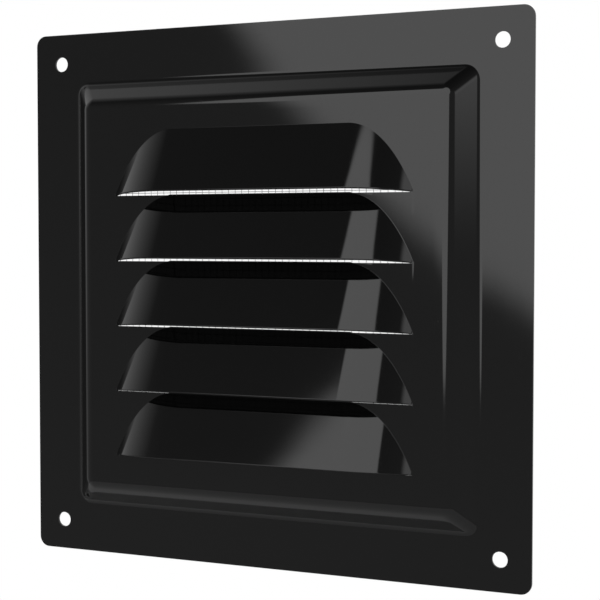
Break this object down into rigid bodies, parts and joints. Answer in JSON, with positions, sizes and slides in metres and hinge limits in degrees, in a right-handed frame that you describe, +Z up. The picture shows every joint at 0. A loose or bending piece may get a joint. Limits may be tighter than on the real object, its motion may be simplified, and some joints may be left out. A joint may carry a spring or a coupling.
{
  "type": "ventilation grille",
  "caption": "Square wall grille in black painted sheet metal: a raised panel with downward hoods, an insect screen behind it and a screw hole in each corner.",
  "frame": {"origin": "centre of the four screw holes, on the back of the flange, which is the face that meets the wall", "axes": "+X to the right seen from the room, +Z up, -Y out of the wall into the room; the screws run along Y"},
  "size_m": [0.15, 0.0143, 0.15],
  "materials": {
    "black_enamel": "gloss black stoved enamel on steel",
    "screen_wire": "dull drawn wire",
    "adhesive": "satin cured sealant"
  },
  "bodies": {
    "root": {"face_plate": "black_enamel", "insect_screen": "screen_wire", "glue_bead": "adhesive"}
  },
  "joints": []
}
